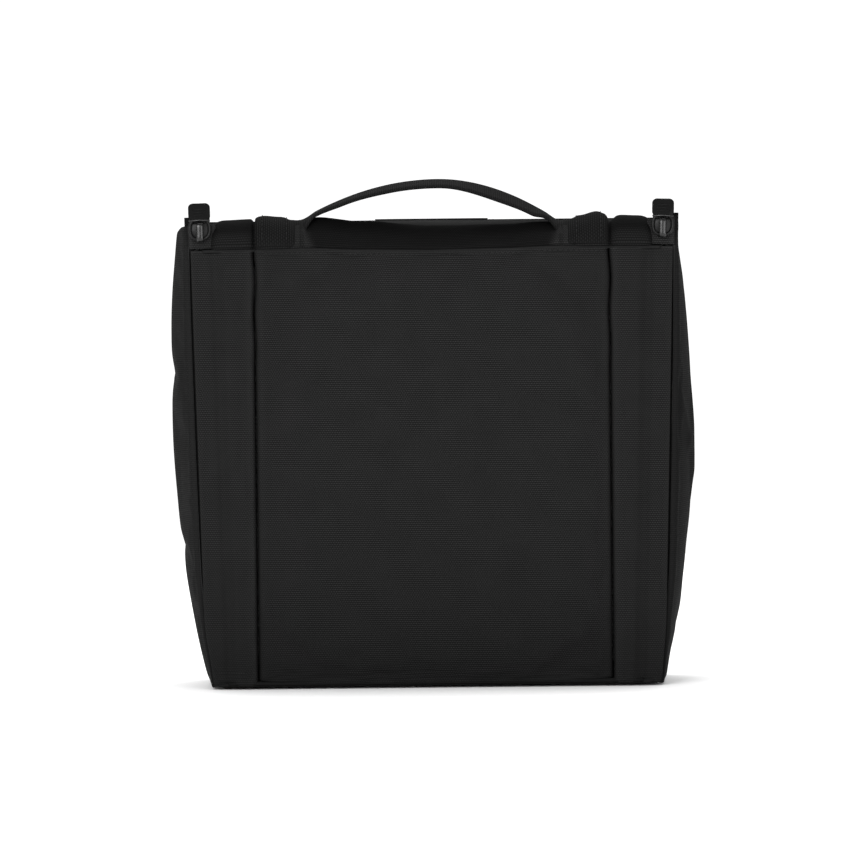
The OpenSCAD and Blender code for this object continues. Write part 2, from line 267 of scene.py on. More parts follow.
def hard(name, base, worn, rough, metallic=0.0, bump=0.00004, grain=900.0, shine=0.5):
    """Metal, plastic or rubber: mottled, finely grained, paler or brighter where edges wear."""
    mat, tree, bsdf = shader(name, Metallic=metallic, Specular_IOR_Level=shine)
    where = object_place(tree)
    fine = noise(where, grain, 3.0)
    broad = noise(where, 140.0, 2.0)
    sharp = Field(node(tree, "NewGeometry").outputs["Pointiness"]) - 0.53
    edge = sharp.do("MULTIPLY", 9.0, clamp=True)
    edge = edge.do("MULTIPLY", broad.do("MULTIPLY_ADD", 1.2, 0.5), clamp=True)
    mottled = mixed(broad, grey(base * 0.85), grey(base * 1.2))
    put(mixed(edge, mottled, grey(worn)), bsdf["Base Color"])
    put(fine.do("MULTIPLY_ADD", 0.22, rough - 0.11), bsdf["Roughness"])
    bumped(bsdf, fine, bump, 0.6)
    return mat


def pile(name, low, high, scale, depth):
    """Hook-and-loop tape: rows of loops or hooks under a fuzzy face."""
    mat, tree, bsdf = shader(name, Roughness=0.95, Specular_IOR_Level=0.2, Sheen_Weight=0.3)
    where = object_place(tree)
    cells = node(tree, "TexVoronoi", Vector=where, Scale=scale)
    height = Field(cells.outputs["Distance"]).do("MULTIPLY_ADD", -1.0, 1.0)
    hair = noise(where, scale * 3, 4.0)
    level = height.do("MULTIPLY", hair, clamp=True)
    put(mixed(level, grey(low), grey(high)), bsdf["Base Color"])
    bumped(bsdf, height + hair, depth)
    return mat


def net(name, hole):
    """Knitted mesh: round holes in rows, cut by the material's alpha."""
    mat, tree, bsdf = shader(name, Roughness=0.75, Specular_IOR_Level=0.3)
    u, v, _ = parts(attribute(tree, "cloth", "Vector"))
    rows = v / hole
    cols = u / hole + rows.staggered()
    a = rows.do("FRACT") - 0.5
    b = cols.do("FRACT") - 0.5
    d = (a * a + b * b).do("SQRT")
    solid = (d - 0.30).do("MULTIPLY", 14.0, clamp=True)
    put(solid, bsdf["Alpha"])
    put(mixed(d, grey(0.012), grey(0.045)), bsdf["Base Color"])
    bumped(bsdf, solid, 0.0002, 0.7)
    return mat


# dark and light of the threads, rib and thread pitch, depth of the weave
SHELL = woven("shell_weave", 0.0045, 0.0215, 0.00102, 0.00124, 0.00012)
WEBBING = woven("webbing_weave", 0.0022, 0.0125, 0.0011, 0.0013, 0.00020, rough=0.85)
BINDING = woven("binding_weave", 0.0030, 0.0100, 0.0006, 0.0005, 0.00006, rough=0.85)
LINING = woven("lining_weave", 0.018, 0.032, 0.0005, 0.0005, 0.00004, rough=0.7, sheen=0.05)
TAPE = woven("zip_tape_weave", 0.0030, 0.0090, 0.0007, 0.0006, 0.00007)
ELASTIC = woven("elastic_weave", 0.004, 0.016, 0.0009, 0.0013, 0.00016)
COIL = hard("coil_nylon", 0.005, 0.014, 0.45)
BLACK_METAL = hard("black_metal", 0.003, 0.010, 0.36, metallic=0.2, shine=0.16)
STEEL = hard("bright_steel", 0.034, 0.070, 0.28, metallic=1.0, bump=0.00001)
STEEL_DARK = hard("grey_steel", 0.030, 0.055, 0.40, metallic=1.0)
RUBBER = hard("puller_rubber", 0.004, 0.008, 0.80, grain=1600.0, shine=0.06)
PLASTIC = hard("moulded_plastic", 0.006, 0.011, 0.62, grain=1200.0, shine=0.05)
BOARD = hard("stiffener_board", 0.05, 0.09, 0.8)
THREAD = hard("thread", 0.010, 0.016, 0.9, grain=3000.0, bump=0.00008, shine=0.08)
HOOKS = pile("hook_tape", 0.006, 0.03, 900.0, 0.0003)
LOOPS = pile("loop_tape", 0.010, 0.045, 650.0, 0.0004)
MESH = net("pocket_net", 0.0022)


# --- mesh builders, in mm
def add_mesh(name, verts, faces, cloth=None, tone=1.0):
    """Object from points in mm. cloth is the weave's (u, v, wear) at each point, tone its brightness."""
    verts = np.asarray(verts, float).reshape(-1, 3)
    mesh = bpy.data.meshes.new(name)
    mesh.from_pydata([tuple(v) for v in verts * MM], [], [tuple(int(i) for i in f) for f in faces])
    bm = bmesh.new()
    bm.from_mesh(mesh)
    bmesh.ops.recalc_face_normals(bm, faces=bm.faces)
    bm.to_mesh(mesh)
    bm.free()
    cloth = verts[:, [0, 2, 1]] * [1, 1, 0] if cloth is None else np.asarray(cloth, float).reshape(-1, 3)
    tone = np.broadcast_to(np.asarray(tone, float).ravel(), (len(verts),))
    layer = mesh.attributes.new("cloth", "FLOAT_VECTOR", "POINT")
    layer.data.foreach_set("vector", (cloth * [MM, MM, 1]).astype(np.float32).ravel())
    mesh.attributes.new("tone", "FLOAT", "POINT").data.foreach_set("value", tone.astype(np.float32))
    mesh.shade_smooth()
    return placed(name, mesh)


def placed(name, data):
    obj = bpy.data.objects.new(name, data)
    scene.collection.objects.link(obj)
    return obj


def quads(idx):
    return np.stack([idx[:-1, :-1], idx[:-1, 1:], idx[1:, 1:], idx[1:, :-1]], -1).reshape(-1, 4)


def slab(name, front, back, cloth, tone=1.0, lined=False):
    """Closed cloth panel from a front and a back grid of points; a lined one notes its back faces."""
    rows, cols = front.shape[:2]
    idx = np.arange(rows * cols).reshape(rows, cols)
    rim = np.concatenate([idx[0, :-1], idx[:-1, -1], idx[-1, :0:-1], idx[:0:-1, 0]])
    after = np.roll(rim, -1)
    sides = np.stack([rim, after, after + idx.size, rim + idx.size], -1)
    face = quads(idx)
    tone = np.broadcast_to(tone, (rows, cols))
    obj = add_mesh(
        name,
        np.stack([front, back]),
        np.concatenate([face, quads(idx + idx.size)[:, ::-1], sides]),
        np.stack([cloth, cloth]),
        np.stack([tone, tone]),
    )
    if lined:
        obj["inner_faces"] = [len(face), 2 * len(face)]
    return obj


def stack3(x, y, z):
    x, y, z = np.broadcast_arrays(x, y, z)
    return np.stack([x, y, z], -1)


def spaced(low, high, step, edge=8.0, fine=0.8):
    """Places from low to high, close together near both ends."""
    edge = min(edge, 0.3 * (high - low))
    fine = min(fine, 0.25 * edge)
    near = [0, fine]
    while near[-1] < edge:
        near.append(near[-1] + min(step, (near[-1] - near[-2]) * 1.35))
    inside = np.linspace(low + near[-1], high - near[-1], max(2, int((high - low - 2 * near[-1]) / step) + 1))
    return np.concatenate([low + np.array(near[:-1]), inside, high - np.array(near[:-1])[::-1]])


def run_along(path):
    """Distance travelled at each point of a path."""
    return np.concatenate([[0], np.cumsum(np.linalg.norm(np.diff(path, axis=0), axis=1))])


def headings(path):
    ahead = np.gradient(path, axis=0)
    return ahead / np.linalg.norm(ahead, axis=1)[:, None]


def tube(name, path, radius, sides=10, squash=(1, 1), caps=True, side_axis=(0, 1, 0), tone=1.0):
    """Round rod along a path; radius may change along it."""
    path = np.asarray(path, float)
    radius = np.broadcast_to(radius, (len(path),))
    side = np.array(side_axis, float)
    verts, cloth = [], []
    angles = np.arange(sides) * 2 * pi / sides
    for p, a, r, s in zip(path, headings(path), radius, run_along(path)):
        first = side - a * (side @ a)
        first /= np.linalg.norm(first) or 1
        second = np.cross(a, first)
        for t in angles:
            verts.append(p + r * (squash[0] * cos(t) * first + squash[1] * sin(t) * second))
            cloth.append((t * r, s, 0))
    faces = []
    for i in range(len(path) - 1):
        for k in range(sides):
            a, b = i * sides + k, i * sides + (k + 1) % sides
            faces.append((a, b, b + sides, a + sides))
    if caps:
        faces.append(tuple(range(sides - 1, -1, -1)))
        faces.append(tuple((len(path) - 1) * sides + k for k in range(sides)))
    return add_mesh(name, verts, faces, cloth, tone)


def plate(name, outline, y0, y1):
    """Flat part drawn in the XZ plane."""
    x, z = np.asarray(outline, float).T
    n = len(x)
    faces = [(k, (k + 1) % n, n + (k + 1) % n, n + k) for k in range(n)]
    faces += [tuple(range(n)), tuple(range(2 * n - 1, n - 1, -1))]
    return add_mesh(name, np.stack([stack3(x, y0, z), stack3(x, y1, z)]), faces)


RAY_COUNT = 56


def rays(centre, half_w, low, high, corner):
    """Rounded rectangle as points at even angles round a centre point."""
    cx, cz = centre
    pts = []
    for a in np.arange(RAY_COUNT) * 2 * pi / RAY_COUNT:
        d = np.array([cos(a), sin(a)])
        reach = 0.0
        for s in np.arange(0.05, 40, 0.05):
            x, z = cx + d[0] * s, cz + d[1] * s
            dx = max(abs(x) - (half_w - corner), 0)
            dz = max(z - (high - corner), (low + corner) - z, 0)
            if hypot(dx, dz) > corner:
                break
            reach = s
        pts.append((cx + d[0] * reach, cz + d[1] * reach))
    return pts


def bevel(obj, width=0.3, segments=2, angle=35):
    m = obj.modifiers.new("edges", "BEVEL")
    m.width = width * MM
    m.segments = segments
    m.limit_method = "ANGLE"
    m.angle_limit = radians(angle)
    return obj


def subdivide(obj):
    m = obj.modifiers.new("smooth", "SUBSURF")
    m.levels = 1
    m.render_levels = 1


def move(obj, matrix):
    """Applies a placement given in mm."""
    obj.data.transform(Matrix.Scale(MM, 4) @ matrix @ Matrix.Scale(1 / MM, 4))
    obj.data.update()


def dress(obj, material, body, slot, *nodes, inner=None):
    obj.data.materials.append(material)
    if inner is not None:
        obj.data.materials.append(inner)
        first, last = obj["inner_faces"]
        for polygon in obj.data.polygons[first:last]:
            polygon.material_index = 1
    if body is not None:
        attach(obj, body)
    if nodes:
        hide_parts(*nodes)
    return obj


def fit(obj, place, *dressing):
    """Moves a piece to its place and dresses it."""
    move(obj, place)
    dress(obj, *dressing)


def joined(name, pieces):
    bm = bmesh.new()
    for p in pieces:
        bm.from_mesh(p.data)
    mesh = bpy.data.meshes.new(name)
    bm.to_mesh(mesh)
    bm.free()
    mesh.shade_smooth()
    obj = placed(name, mesh)
    for p in pieces:
        bpy.data.objects.remove(p)
    return obj


SWELL_FRAMES = 20


def inflate(obj, fixed, cap, pressure=4.0, grow=0.015):
    """Cloth simulation of a sewn pad: its back and fixed points stay, the rest swells up to cap mm."""
    pinned = np.concatenate([np.flatnonzero(fixed), fixed.size + np.arange(fixed.size)])
    group = obj.vertex_groups.new(name="sewn")
    group.add(pinned.tolist(), 1.0, "REPLACE")
    rest = np.array([v.co for v in obj.data.vertices])
    m = obj.modifiers.new("cloth", "CLOTH")
    fabric = dict(
        quality=5, mass=0.3, tension_stiffness=15.0, compression_stiffness=15.0, bending_stiffness=0.6,
        shrink_min=-grow, vertex_group_mass="sewn", use_pressure=True, uniform_pressure_force=pressure,
    )
    for key, value in fabric.items():
        setattr(m.settings, key, value)
    m.settings.effector_weights.gravity = 0
    for frame_number in range(1, SWELL_FRAMES + 1):
        scene.frame_set(frame_number)
    seen = obj.evaluated_get(bpy.context.evaluated_depsgraph_get())
    now = np.array([v.co for v in seen.data.vertices])
    obj.modifiers.remove(m)
    obj.vertex_groups.clear()
    scene.frame_set(1)
    step = now - rest
    far = np.linalg.norm(step, axis=1)[:, None]
    step *= np.minimum(1, cap * MM / np.maximum(far, 1e-9))
    obj.data.vertices.foreach_set("co", (rest + step).astype(np.float32).ravel())
    obj.data.update()


def finish_pad(obj, body, part, fill, fixed=None, inner=None, **swell):
    """Swells a cloth pad where it isn't fixed, smooths it, dresses it in the shell cloth on its body and
    hides the CAD part it stands for.
    """
    if fixed is not None:
        inflate(obj, fixed, **swell)
    subdivide(obj)
    dress(obj, SHELL, body, "shell_fabric", part, inner=inner)


STITCH_SIDES = 6


def stitches(name, path, out, body, slot="shell_fabric", pitch=3.0, length=2.1, r=0.24):
    """Row of thread stitches along a path; out is the face's outward direction."""
    path = np.asarray(path, float)
    run = run_along(path)
    count = max(1, int(run[-1] / pitch))
    out = np.asarray(out, float)
    verts, faces = [], []
    for k in range(count):
        s0 = (k + 0.5) * run[-1] / count - length / 2
        start, stop = (
            np.array([np.interp(s, run, path[:, i]) for i in range(3)]) for s in (s0, s0 + length)
        )
        a = stop - start
        a /= np.linalg.norm(a) or 1
        side = np.cross(a, out)
        side /= np.linalg.norm(side) or 1
        up = np.cross(side, a)
        first = len(verts)
        verts.append(start - out * 0.1)
        for f, lift, size in ((0.2, 0.12, 0.8), (0.5, 0.22, 1.0), (0.8, 0.12, 0.8)):
            p = start + (stop - start) * f + out * lift
            for t in np.arange(STITCH_SIDES) * 2 * pi / STITCH_SIDES:
                verts.append(p + r * size * (cos(t) * side + sin(t) * up))
        verts.append(stop - out * 0.1)
        last = len(verts) - 1
        for t in range(STITCH_SIDES):
            u = (t + 1) % STITCH_SIDES
            faces.append((first, first + 1 + u, first + 1 + t))
            for ring in (first + 1, first + 1 + STITCH_SIDES):
                faces.append((ring + t, ring + u, ring + STITCH_SIDES + u, ring + STITCH_SIDES + t))
            faces.append((last - STITCH_SIDES + t, last - STITCH_SIDES + u, last))
    dress(add_mesh(name, verts, faces), THREAD, body, slot)


# --- camera, floor and light
def aim(obj, target, roll=0.0):
    way = Vector(target) - obj.location
    obj.rotation_euler = (way.to_track_quat("-Z", "Y").to_matrix() @ Matrix.Rotation(roll, 3, "Z")).to_euler()


camera = placed("camera", bpy.data.cameras.new("camera"))
camera.data.lens = 260
camera.data.sensor_width = 36
distance = 3.14
elevation = radians(1.6)
roll = radians(-0.6)
target = (0.0002, FRONT_Y * MM, 0.1272)
camera.location = (
    target[0],
    target[1] - distance * cos(elevation),
    target[2] + distance * sin(elevation),
)
aim(camera, target, roll)
scene.camera = camera

scene.view_settings.view_transform = "Standard"
scene.view_settings.look = "None"

SKY_LIGHT, SKY_SEEN = 0.55, 1.1  # the sky's strength as light, and where the camera sees it
world = bpy.data.worlds.new("studio")
world.use_nodes = True
sky = world.node_tree.nodes["Background"].inputs
sky["Color"].default_value = (1, 1, 1, 1)
seen = Field(node(world.node_tree, "LightPath").outputs["Is Camera Ray"])
put(seen.do("MULTIPLY_ADD", SKY_SEEN - SKY_LIGHT, SKY_LIGHT), sky["Strength"])
scene.world = world


def area_light(name, place, target, size, power):
    light = bpy.data.lights.new(name, "AREA")
    light.size = size
    light.energy = power
    obj = placed(name, light)
    obj.location = place
    aim(obj, target)


BAG_MIDDLE = (0, 0, 0.12)
area_light("key", (-0.75, -1.75, 0.75), BAG_MIDDLE, 1.1, 34)
area_light("fill", (0.9, -1.6, 0.35), BAG_MIDDLE, 1.1, 17)
area_light("left_rim", (-1.5, 0.1, 0.5), BAG_MIDDLE, 0.8, 2.0)
area_light("right_rim", (1.5, 0.1, 0.5), BAG_MIDDLE, 0.8, 1.0)
area_light("floor_wash", (0, 0.9, 2.2), (0, 1.4, 0.0), 1.8, 60)

FLOOR_R = 1.35
FLOOR_Z = -0.0004
rim_angles = np.radians(np.arange(0, 360, 5))
floor_rim = [(FLOOR_R * cos(a), FLOOR_R * sin(a), FLOOR_Z) for a in rim_angles]
floor_mesh = bpy.data.meshes.new("floor")
floor_mesh.from_pydata(floor_rim, [], [tuple(range(len(floor_rim)))])
floor = placed("floor", floor_mesh)
paper, paper_tree, paper_bsdf = shader("paper", Roughness=0.9, Specular_IOR_Level=0.1)
put(mixed(noise(object_place(paper_tree), 3.0), grey(0.92), grey(0.95)), paper_bsdf["Base Color"])
floor.data.materials.append(paper)


# --- lid: three padded panels
SEAM_Y = LID_BACK_Y - 4.6
PAD_BACK_Y = LID_BACK_Y - 0.7
LIP_Y = -42.35  # front of the lid's closing lip, which covers the zip
LIP_T = 0.8
CREASE_GAP = 0.12  # from a crease's middle to the pad on either side
STRIP_STEP = 12.4  # from the zip inward to where a side strip has stepped down to the lip


def shoulder(inside):
    """Section of a pad beside a sewn crease: steep at the seam, then a wide soft shoulder."""
    return 0.5 * rounding(inside, 1.0) + 0.5 * rounding(inside, 6.0)


def crease_wander(inside, z):
    """Sideways wander of a crease, strongest near the top."""
    return 0.55 * np.sin(z / 5.3 + 0.7) * ease((z - 140) / 70) * np.exp(-np.maximum(inside, 0) / 5)


def hem_z(x):
    """Height of the lid's top edge, which rises towards the ends of the handle."""
    return curve(np.abs(x), [0, 36, 64, 82, 112, 126], [219.4, 219.9, 220.9, 220.6, 220.3, 220.2])


def pieced(*stretches):
    """Places along several evenly divided stretches that share their ends."""
    return np.unique(np.concatenate([np.linspace(*stretch) for stretch in stretches]))


def lid_puff(in_x, in_low, in_top, foot):
    """Swelling of a lid pad: none at its crease and foot, two thirds at its hem."""
    return shoulder(in_x) * rounding(in_low, foot) * (0.66 + 0.34 * rounding(in_top, 3.2))


def lid_wear(in_x, in_top):
    return 0.7 * groove(in_top, 0.4, 1.0) + 0.25 * groove(in_x, 2.5, 2.0)


def centre_pad():
    half = CREASE_X - CREASE_GAP
    x, b = np.meshgrid(spaced(-half, half, 4.0), spaced(0, 1, 4.0 / 217, 9.0 / 217, 0.8 / 217))
    low = 1.3 + 2.2 * (np.abs(x) / CREASE_X) ** 8
    top = hem_z(x)
    z = low + (top - low) * b
    in_x, in_low, in_top = half - np.abs(x), z - low, top - z
    puff = lid_puff(in_x, in_low, in_top, 3.2)
    crown = (1 - (x / CREASE_X) ** 2) * (1 - (2 * b - 1) ** 2)
    y = SEAM_Y - 4.2 * puff - 0.7 * crown + 0.18 * ripple(x, z, 21.0, 0.6) * puff
    y = y + 0.5 * groove(in_top, 2.3, 0.9)
    x = x + crease_wander(in_x, z)
    top = hem_z(x)
    front = stack3(x, y, z)
    back = stack3(x, PAD_BACK_Y, low + 0.4 + (top - 1.2 - low) * b)
    worn = 0.8 * np.exp(-in_low / 3) + lid_wear(in_x, in_top)
    # painted shade: the pad is painted darker towards its foot and beside the creases
    tone = 1 - 0.45 * np.exp(-in_low / 42) - 0.1 * np.exp(-in_x / 5)
    obj = slab("lid_centre_pad", front, back, stack3(x, z, worn), tone)
    sewn = (in_x < 2.2) | (in_low < 1.5) | (in_top < 3.4)
    finish_pad(obj, "lid", "centre_panel", 0.55, sewn, cap=2.0)


def lip_edge(z, side):
    return zip_x(z) + LIP_OUT - (3.4 if side < 0 else 1.6) * (1 - ease(z / 36))


def side_pad(side, name, part):
    x0 = CREASE_X + CREASE_GAP
    across = pieced((0, 0.2, 8), (0.2, 0.6, 7), (0.6, 1, 12))
    a, b = np.meshgrid(across, spaced(0, 1, 4.0 / 218, 9.0 / 218, 0.8 / 218))
    corners = 1.6 * (1 - rounding(30 * a, 4.0)) + 2.6 * (1 - rounding(30 * (1 - a), 5.0))
    low, top = 0.5 + corners, hem_z(110)
    z = low + (top - low) * b
    wide = lip_edge(z, side) - x0
    x = x0 + wide * a
    from_zip = x - zip_x(z)
    in_x, in_low, in_top, in_lip = x - x0, z - low, top - z, lip_edge(z, side) - x
    puff = lid_puff(in_x, in_low, in_top, 3.5)
    pad_y = SEAM_Y - 4.1 * puff + 0.16 * ripple(x, z, 17.0, 1.9 * side) * puff
    lip_y = LIP_Y + 2.4 * (1 - rounding(in_low, 5.0))
    y = pad_y + (lip_y - pad_y) * ease((from_zip + STRIP_STEP) / 4.4)
    y = y + 0.35 * groove(from_zip, -6.0, 0.7) * (in_low > 4)
    y = y + 0.35 * (1 - rounding(in_lip, 0.9)) + 0.45 * groove(in_top, 2.3, 0.9)
    back_y = PAD_BACK_Y + (np.maximum(lip_y, y) + LIP_T - PAD_BACK_Y) * ease((from_zip + 8.2) / 1.6)
    front = stack3(side * x + crease_wander(in_x, z), y, z)
    back_y = np.maximum(back_y, y + 0.5)
    back = stack3(side * (x0 + (wide - 0.1) * a), back_y, low + 0.4 + (top - 1.0 - low) * b)
    worn = 0.7 * np.exp(-in_low / 3) + 0.45 * np.exp(-in_lip / 0.8) + lid_wear(in_x, in_top)
    # painted shade: the strip is painted darker towards its foot and along the valley where it steps down to
    # the lip
    tone = 1 - 0.38 * np.exp(-in_low / 30) - 0.12 * groove(from_zip, -6.0, 1.0)
    obj = slab(name, front, back, stack3(side * x, z, worn), tone)
    sewn = (in_x < 2.0) | (from_zip > -STRIP_STEP) | (in_low < 1.5) | (in_top < 3.4)
    finish_pad(obj, "lid", part, 0.5, sewn, cap=1.2)


centre_pad()
side_pad(-1, "lid_left_pad", "left_strip")
side_pad(1, "lid_right_pad", "right_strip")


# Lid hem: the folded edge that shows as a pale line along the top; its binding is painted twice as bright as
# elsewhere, a painted highlight
def lid_hem():
    x = np.linspace(-zip_x(LID_TOP) + 2.0, zip_x(LID_TOP) - 2.0, 150)
    z = hem_z(x) + 0.12
    notch = groove(np.abs(x), CREASE_X, 1.1)
    ends = ease((np.abs(x) - 104) / 6)
    fold = stack3(x, -43.75 + 2.6 * notch + ends, z - 0.7)
    # painted highlight: tone 2.0 doubles the binding's colour along the fold
    obj = tube("lid_hem_fold", fold, 0.85, 8, squash=(0.8, 1.0), tone=2.0)
    dress(obj, BINDING, "lid", "shell_fabric", "lid_hem")
    seam = stack3(x, -44.95 + 3.4 * notch + 2.5 * ends, z - 2.4)[np.abs(x) < CREASE_X - 2]
    stitches("lid_hem_stitches", seam, (0, -1, 0), "lid", pitch=2.6, length=1.9)


lid_hem()


# --- top band and the webbing laid on it
BAND_DEPTH = 13.0
ROLL_Y = FRONT_Y + BAND_DEPTH
BAND_END = BAND_HALF + 0.8
STRAP_SEAMS = (65.0, 71.2)  # where the band is drawn in beside the strap's ends


def band_top(x):
    """Height of the roll's top: full over the strap's ends, slack between them and at the corners."""
    return curve(
        x,
        [-118, -113, -104, -91, -88, -84, -76, -68, -57, -34, 0,
         34, 56, 67, 74, 83, 87.5, 89.5, 94, 104, 113, 118],
        [231.5, 233.4, 235.4, 235.9, 235.4, 236.0, 235.4, 233.6, 236.6, 234.3, 231.9,
         232.1, 233.2, 232.2, 234.6, 236.6, 235.2, 233.4, 236.2, 235.8, 234.0, 232.0],
    )


def band_low(x):
    return hem_z(x) + 0.3


def proud(ax, t):
    """1 where the strap's ends hold the band up, 0 along its slack middle."""
    return ease((ax - (57 + 9 * t)) / 5.0)


def band_point(x, t, lift=0.0):
    """Front-to-top section of the band at x; t runs from its lower edge to the roll's top."""
    ax = np.abs(x)
    angle = t * pi / 2
    slack = 1 - proud(ax, t)
    radial = 1.0 - 0.10 * slack * np.sin(pi * t) * (1 - 0.3 * ax / 60)
    for centre, width, cut in zip((CREASE_X, *STRAP_SEAMS), (0.8, 0.75, 0.75), (0.17, 0.10, 0.11)):
        radial = radial - cut * groove(ax, centre, width)
    wave = 0.22 * ripple(x * 0.6, t * 26, 3.4, 0.4) * slack + 0.10 * ripple(x, t * 20, 7.0, 1.1)
    end = rounding(BAND_END - ax, 5.0)
    reach = (BAND_DEPTH - 0.6 * slack) * radial * (0.72 + 0.28 * end) + wave + lift
    height = (band_top(x) - band_low(x)) * (0.55 + 0.45 * radial) * (0.86 + 0.14 * end) + 0.6 * wave + lift
    y = ROLL_Y - reach * np.maximum(np.cos(angle), 0) ** (0.74 + 0.5 * slack)
    z = band_low(x) + height * np.sin(angle) ** (0.80 + 0.25 * slack)
    return y, z


def top_band():
    stretches = [(-BAND_END, BAND_END, 114)]
    stretches += [(s * c - 3, s * c + 3, 13) for s in (-1, 1) for c in (CREASE_X, *STRAP_SEAMS)]
    x, t = np.meshgrid(pieced(*stretches), np.linspace(0, 1.0, 22))
    y, z = band_point(x, t)
    y_in, z_in = band_point(x, t, -1.8)
    in_low = z - band_low(x)
    y = y + 0.8 * (1 - ease(in_low / 1.4))
    back = stack3(x, np.maximum(y_in, y + 0.4), np.minimum(z_in, z - 0.2))
    ax = np.abs(x)
    # painted shade: the roll is painted darker towards its upward-facing top, more so over the side strips,
    # and at the lid's creases; between the strap's ends its slack middle is darker as well
    dark = (0.34 + 0.66 * proud(ax, t)) * (1 - (0.35 + 0.4 * ease((t - 0.15) / 0.28)) * ease((ax - 88) / 2))
    dark = dark * (1 - 0.35 * ease((t - 0.30) / 0.35)) * (1 - 0.3 * groove(ax, CREASE_X, 3.0))
    cloth = stack3(x, t * 21, 0.3 * groove(in_low, 0.5, 0.7))
    obj = slab("top_band_roll", stack3(x, y, z), back, cloth, dark)
    finish_pad(obj, "shell", "top_band", 0.35)


top_band()


def arch_top(x):
    fall = 0.0042 + 0.0016 * ease((x + 20) / 40)
    return ARCH_TOP_Z - fall * (x - 3.0) ** 2


def webbing():
    """One strap: its ends lie on the band, and its middle rises as the handle's arch."""
    flat, half = 46, 88.6
    bends = pieced((flat, 74, 26), (74, half, 12))
    xs = np.unique(np.concatenate([-bends, np.linspace(-flat, flat, 44), bends]))
    x, w = np.meshgrid(xs, np.linspace(0, 1, 15))
    ax = np.abs(x)

    def place(lift, under):
        py, pz = band_point(np.sign(x) * np.clip(ax, 69, 90), 0.015 + 0.965 * w, lift)
        tilt = np.radians(curve(x, [-58, -44, -20, 5, 34, 50, 58], [4, 7, 9.5, 10, 16, 14, 6]))
        ay = HANDLE_Y + (w - 0.5) * WEBBING_W * np.cos(tilt)
        az = arch_top(x) - (1 - w) * WEBBING_W * np.sin(tilt) - under
        return stack3(x, py + (ay - py) * ease((71.5 - ax) / 11.0), pz + (az - pz) * ease((70.5 - ax) / 12.5))

    outer, inner = place(1.7, 0.0), place(0.15, 2.2)
    edge = np.minimum(w, 1 - w) * WEBBING_W
    mid = (outer + inner) / 2
    round_edges = (0.45 + 0.55 * rounding(edge, 1.2))[..., None]
    outer, inner = (mid + (face - mid) * round_edges for face in (outer, inner))
    cloth = stack3(w * WEBBING_W, x, 0.5 * np.exp(-edge / 0.8))
    # painted shade: the strap's ends are painted darker towards their upward-facing back edge, and the arch
    # darker than the ends
    tone = (1.0 - 0.25 * ease((w - 0.45) / 0.4) * ease((ax - 66) / 4)) * (0.74 + 0.26 * ease((ax - 58) / 12))
    obj = slab("handle_webbing_strap", outer, inner, cloth, tone)
    subdivide(obj)
    dress(obj, WEBBING, None, "webbing", "handle_webbing", "left_handle_end", "right_handle_end")
    for side, name in ((-1, "left"), (1, "right")):
        for k, at in enumerate((CREASE_X - 4.2, 72.6)):
            seam = stack3(side * at, *band_point(side * at, np.linspace(0.10, 0.93, 16), 1.9))
            name_k = f"{name}_strap_stitches_{k}"
            stitches(name_k, seam, (0, -0.8, 0.6), "shell", "webbing", pitch=2.4, length=1.7)
    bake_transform(obj)


webbing()


# --- side walls
WALL_FRONT_Y = -41.9
WALL_WIDEST = 131.8


def back_half(z):
    return 112 + 9 * ease(z / 90)


def gusset(side, name, part, peak, top, foot_drop, top_curve):
    """Side wall that bulges most at the height peak, and falls in towards its foot and top."""
    t, z = np.meshgrid(pieced((0, 0.12, 9), (0.12, 0.9, 20), (0.9, 1, 5)), spaced(0.6, top, 4.6, 8.0))
    pinch = 1 - ease((z - 30) / 32)
    front_x = lip_edge(z, side) + SLIT - 0.75 * SLIT * pinch
    rear_x = back_half(z) + 0.3
    drop = foot_drop * (np.maximum(peak - z, 0) / (peak - 5)) ** 2.5
    drop = drop + top_curve * np.maximum(z - peak, 0) ** 2
    bulge = np.maximum(WALL_WIDEST - drop, front_x + 0.6) - (front_x + rear_x) / 2
    middle = np.sin(pi * t)
    x = front_x + (rear_x - front_x) * t + bulge * middle ** 0.62
    x = x - 2.2 * (1 - rounding(top - z, 2.6)) * middle ** 0.5
    y = WALL_FRONT_Y + (LINING_Y + 1.5 - WALL_FRONT_Y) * t + 1.6 * (1 - rounding(t * 60, 2.0))
    y = y + 1.6 * (1 - rounding(z, 5.0)) * (1 - t)
    x = x + 0.35 * ripple(y, z, 19.0, side * 1.4) * middle
    crease = groove(t, 0.045, 0.018) * ease((z - 112) / 18) * ease((168 - z) / 22)
    sag = 0.4 * groove(z, 62 + 18 * t, 9) * middle ** 2
    x = x - (1.1 if side > 0 else 0.25) * crease - sag
    thick = 2.4 * rounding(t * 84, 6.0) + 0.9
    inner = stack3(side * (x - thick), y + 0.5 * (1 - t), z)
    worn = 0.5 * np.exp(-t * 84 / 1.2) + 0.5 * np.exp(-z / 4)
    # painted shade: the right wall, turned from the key light, is painted darker than the left, and both
    # darker towards the floor
    tone = (0.80 if side < 0 else 0.62) - 0.25 * np.exp(-z / 30)
    obj = slab(name, stack3(side * x, y, z), inner, stack3(y, z, worn), tone, lined=True)
    sewn = (t < 0.06) | (t > 0.96) | (z < 2.5) | (z > top - 2.5)
    finish_pad(obj, "shell", part, 0.3, sewn, inner=LINING, cap=1.0, pressure=2.0, grow=0.012)


gusset(-1, "left_side_wall", "left_gusset", 165, 232.6, 16.9, 0.0009)
gusset(1, "right_side_wall", "right_gusset", 130, 235.2, 15.4, 0.00073)


# --- top, back and bottom
def stadium(half, w, n):
    """Slot outline as n points at even angles."""
    pts = []
    r = w / 2
    for k in range(n):
        a = 2 * pi * (k + 0.5) / n
        d = np.array([cos(a), sin(a)])
        s = 0.0
        while max(abs(d[0] * s) - (half - r), 0) ** 2 + (d[1] * s) ** 2 < r * r:
            s += 0.05
        pts.append(d * s)
    return np.array(pts)


